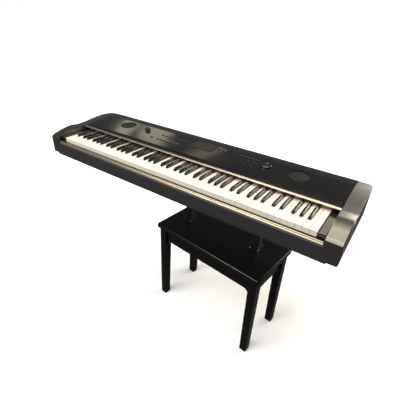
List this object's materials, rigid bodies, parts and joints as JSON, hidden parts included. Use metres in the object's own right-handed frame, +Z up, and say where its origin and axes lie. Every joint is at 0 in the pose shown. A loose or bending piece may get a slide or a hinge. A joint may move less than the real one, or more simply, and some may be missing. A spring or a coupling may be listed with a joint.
{
  "type": "digital piano on stand",
  "caption": "Full-size digital piano with hinged keys, sloping control panel and loudspeakers, carried by a steel riser on a low four-legged wooden stand.",
  "frame": {"origin": "on the floor, under the middle of the piano's width and depth", "axes": "+X along the keyboard from bass to treble, +Y from the player to the back, +Z up"},
  "size_m": [1.388, 0.417, 0.8494],
  "materials": {
    "case_satin": "satin",
    "slip_satin": "satin",
    "trim_metal": "satin",
    "cheek_satin": "satin",
    "block_gloss": "gloss",
    "panel_gloss": "gloss",
    "red_felt": "matt",
    "display_glass": "gloss",
    "board_green": "matt",
    "frame_steel": "satin",
    "grille_metal": "satin",
    "driver_black": "matt",
    "black_lacquer": "gloss",
    "riser_paint": "satin",
    "key_white": "gloss",
    "key_black": "gloss",
    "button_black": "satin",
    "knob_black": "satin",
    "dial_chrome": "gloss"
  },
  "bodies": {
    "instrument": {"bottom_case": "case_satin", "key_slip": "slip_satin", "slip_ledge": "trim_metal", "cheek_left": "cheek_satin", "cheek_right": "cheek_satin", "end_block_left": "block_gloss", "end_block_right": "block_gloss", "control_panel": "panel_gloss", "rear_panel": "case_satin", "felt_strip": "red_felt", "display_window": "display_glass", "circuit_board": "board_green", "key_frame": "frame_steel", "speaker_grille_left": "grille_metal", "speaker_grille_right": "grille_metal", "speaker_driver_left": "driver_black", "speaker_driver_right": "driver_black", "power_inlet": "case_satin", "stand_top": "black_lacquer", "apron_front": "black_lacquer", "apron_rear": "black_lacquer", "apron_left": "black_lacquer", "apron_right": "black_lacquer", "leg_front_left": "black_lacquer", "leg_front_right": "black_lacquer", "leg_rear_left": "black_lacquer", "leg_rear_right": "black_lacquer", "riser_left": "riser_paint", "riser_right": "riser_paint"},
    "key_c": {"key_c": "key_white"},
    "key_c_sharp": {"key_c_sharp": "key_black"},
    "key_d": {"key_d": "key_white"},
    "key_d_sharp": {"key_d_sharp": "key_black"},
    "key_e": {"key_e": "key_white"},
    "key_f": {"key_f": "key_white"},
    "key_f_sharp": {"key_f_sharp": "key_black"},
    "key_g": {"key_g": "key_white"},
    "key_g_sharp": {"key_g_sharp": "key_black"},
    "key_a": {"key_a": "key_white"},
    "key_a_sharp": {"key_a_sharp": "key_black"},
    "key_b": {"key_b": "key_white"},
    "white_keys_bass": {"white_keys_bass": "key_white"},
    "black_keys_bass": {"black_keys_bass": "key_black"},
    "white_keys_treble": {"white_keys_treble": "key_white"},
    "black_keys_treble": {"black_keys_treble": "key_black"},
    "tone_button_1": {"tone_button_1": "button_black"},
    "tone_button_2": {"tone_button_2": "button_black"},
    "tone_button_3": {"tone_button_3": "button_black"},
    "tone_button_4": {"tone_button_4": "button_black"},
    "tone_button_5": {"tone_button_5": "button_black"},
    "tone_button_6": {"tone_button_6": "button_black"},
    "tone_button_7": {"tone_button_7": "button_black"},
    "tone_button_8": {"tone_button_8": "button_black"},
    "cursor_button_1": {"cursor_button_1": "button_black"},
    "cursor_button_2": {"cursor_button_2": "button_black"},
    "voice_button_bank": {"voice_button_bank": "button_black"},
    "menu_button_bank": {"menu_button_bank": "button_black"},
    "volume_knob": {"volume_knob": "knob_black"},
    "data_dial": {"data_dial": "dial_chrome"},
    "power_button": {"power_button": "button_black"}
  },
  "joints": [
    {"name": "key_c_pivot", "type": "hinge", "parent": "instrument", "child": "key_c", "pos_m": [0, 0.0345, 0.79], "axis": [1, 0, 0], "range_deg": [0, 2.59], "stiffness_Nm_per_rad": 0.5, "springref_deg": -28.65},
    {"name": "key_c_sharp_pivot", "type": "hinge", "parent": "instrument", "child": "key_c_sharp", "pos_m": [0, 0.0345, 0.79], "axis": [1, 0, 0], "range_deg": [0, 2.59], "stiffness_Nm_per_rad": 0.3, "springref_deg": -28.65},
    {"name": "key_d_pivot", "type": "hinge", "parent": "instrument", "child": "key_d", "pos_m": [0, 0.0345, 0.79], "axis": [1, 0, 0], "range_deg": [0, 2.59], "stiffness_Nm_per_rad": 0.5, "springref_deg": -28.65},
    {"name": "key_d_sharp_pivot", "type": "hinge", "parent": "instrument", "child": "key_d_sharp", "pos_m": [0, 0.0345, 0.79], "axis": [1, 0, 0], "range_deg": [0, 2.59], "stiffness_Nm_per_rad": 0.3, "springref_deg": -28.65},
    {"name": "key_e_pivot", "type": "hinge", "parent": "instrument", "child": "key_e", "pos_m": [0, 0.0345, 0.79], "axis": [1, 0, 0], "range_deg": [0, 2.59], "stiffness_Nm_per_rad": 0.5, "springref_deg": -28.65},
    {"name": "key_f_pivot", "type": "hinge", "parent": "instrument", "child": "key_f", "pos_m": [0, 0.0345, 0.79], "axis": [1, 0, 0], "range_deg": [0, 2.59], "stiffness_Nm_per_rad": 0.5, "springref_deg": -28.65},
    {"name": "key_f_sharp_pivot", "type": "hinge", "parent": "instrument", "child": "key_f_sharp", "pos_m": [0, 0.0345, 0.79], "axis": [1, 0, 0], "range_deg": [0, 2.59], "stiffness_Nm_per_rad": 0.3, "springref_deg": -28.65},
    {"name": "key_g_pivot", "type": "hinge", "parent": "instrument", "child": "key_g", "pos_m": [0, 0.0345, 0.79], "axis": [1, 0, 0], "range_deg": [0, 2.59], "stiffness_Nm_per_rad": 0.5, "springref_deg": -28.65},
    {"name": "key_g_sharp_pivot", "type": "hinge", "parent": "instrument", "child": "key_g_sharp", "pos_m": [0, 0.0345, 0.79], "axis": [1, 0, 0], "range_deg": [0, 2.59], "stiffness_Nm_per_rad": 0.3, "springref_deg": -28.65},
    {"name": "key_a_pivot", "type": "hinge", "parent": "instrument", "child": "key_a", "pos_m": [0, 0.0345, 0.79], "axis": [1, 0, 0], "range_deg": [0, 2.59], "stiffness_Nm_per_rad": 0.5, "springref_deg": -28.65},
    {"name": "key_a_sharp_pivot", "type": "hinge", "parent": "instrument", "child": "key_a_sharp", "pos_m": [0, 0.0345, 0.79], "axis": [1, 0, 0], "range_deg": [0, 2.59], "stiffness_Nm_per_rad": 0.3, "springref_deg": -28.65},
    {"name": "key_b_pivot", "type": "hinge", "parent": "instrument", "child": "key_b", "pos_m": [0, 0.0345, 0.79], "axis": [1, 0, 0], "range_deg": [0, 2.59], "stiffness_Nm_per_rad": 0.5, "springref_deg": -28.65},
    {"name": "white_keys_bass_pivot", "type": "hinge", "parent": "instrument", "child": "white_keys_bass", "pos_m": [0, 0.0345, 0.79], "axis": [1, 0, 0], "range_deg": [0, 2.59], "stiffness_Nm_per_rad": 11.5, "springref_deg": -28.65},
    {"name": "black_keys_bass_pivot", "type": "hinge", "parent": "instrument", "child": "black_keys_bass", "pos_m": [0, 0.0345, 0.79], "axis": [1, 0, 0], "range_deg": [0, 2.59], "stiffness_Nm_per_rad": 4.8, "springref_deg": -28.65},
    {"name": "white_keys_treble_pivot", "type": "hinge", "parent": "instrument", "child": "white_keys_treble", "pos_m": [0, 0.0345, 0.79], "axis": [1, 0, 0], "range_deg": [0, 2.59], "stiffness_Nm_per_rad": 11, "springref_deg": -28.65},
    {"name": "black_keys_treble_pivot", "type": "hinge", "parent": "instrument", "child": "black_keys_treble", "pos_m": [0, 0.0345, 0.79], "axis": [1, 0, 0], "range_deg": [0, 2.59], "stiffness_Nm_per_rad": 4.5, "springref_deg": -28.65},
    {"name": "tone_button_1_press", "type": "slide", "parent": "instrument", "child": "tone_button_1", "axis": [0, 0.083, -0.9965], "range_m": [0, 0.0015], "stiffness_N_per_m": 300, "springref_m": -0.003},
    {"name": "tone_button_2_press", "type": "slide", "parent": "instrument", "child": "tone_button_2", "axis": [0, 0.083, -0.9965], "range_m": [0, 0.0015], "stiffness_N_per_m": 300, "springref_m": -0.003},
    {"name": "tone_button_3_press", "type": "slide", "parent": "instrument", "child": "tone_button_3", "axis": [0, 0.083, -0.9965], "range_m": [0, 0.0015], "stiffness_N_per_m": 300, "springref_m": -0.003},
    {"name": "tone_button_4_press", "type": "slide", "parent": "instrument", "child": "tone_button_4", "axis": [0, 0.083, -0.9965], "range_m": [0, 0.0015], "stiffness_N_per_m": 300, "springref_m": -0.003},
    {"name": "tone_button_5_press", "type": "slide", "parent": "instrument", "child": "tone_button_5", "axis": [0, 0.083, -0.9965], "range_m": [0, 0.0015], "stiffness_N_per_m": 300, "springref_m": -0.003},
    {"name": "tone_button_6_press", "type": "slide", "parent": "instrument", "child": "tone_button_6", "axis": [0, 0.083, -0.9965], "range_m": [0, 0.0015], "stiffness_N_per_m": 300, "springref_m": -0.003},
    {"name": "tone_button_7_press", "type": "slide", "parent": "instrument", "child": "tone_button_7", "axis": [0, 0.083, -0.9965], "range_m": [0, 0.0015], "stiffness_N_per_m": 300, "springref_m": -0.003},
    {"name": "tone_button_8_press", "type": "slide", "parent": "instrument", "child": "tone_button_8", "axis": [0, 0.083, -0.9965], "range_m": [0, 0.0015], "stiffness_N_per_m": 300, "springref_m": -0.003},
    {"name": "cursor_button_1_press", "type": "slide", "parent": "instrument", "child": "cursor_button_1", "axis": [0, 0.083, -0.9965], "range_m": [0, 0.0015], "stiffness_N_per_m": 300, "springref_m": -0.003},
    {"name": "cursor_button_2_press", "type": "slide", "parent": "instrument", "child": "cursor_button_2", "axis": [0, 0.083, -0.9965], "range_m": [0, 0.0015], "stiffness_N_per_m": 300, "springref_m": -0.003},
    {"name": "voice_button_bank_press", "type": "slide", "parent": "instrument", "child": "voice_button_bank", "axis": [0, 0.083, -0.9965], "range_m": [0, 0.0015], "stiffness_N_per_m": 900, "springref_m": -0.003},
    {"name": "menu_button_bank_press", "type": "slide", "parent": "instrument", "child": "menu_button_bank", "axis": [0, 0.083, -0.9965], "range_m": [0, 0.0015], "stiffness_N_per_m": 900, "springref_m": -0.003},
    {"name": "power_button_press", "type": "slide", "parent": "instrument", "child": "power_button", "axis": [0, -1, 0], "range_m": [0, 0.002], "stiffness_N_per_m": 300, "springref_m": -0.004},
    {"name": "volume_knob_turn", "type": "hinge", "parent": "instrument", "child": "volume_knob", "pos_m": [-0.326, 0.08315, 0.83547], "axis": [0, -0.083, 0.9965], "range_deg": [-150, 150]},
    {"name": "data_dial_turn", "type": "hinge", "parent": "instrument", "child": "data_dial", "pos_m": [0.314, 0.07717, 0.83497], "axis": [0, -0.083, 0.9965], "continuous": true}
  ]
}
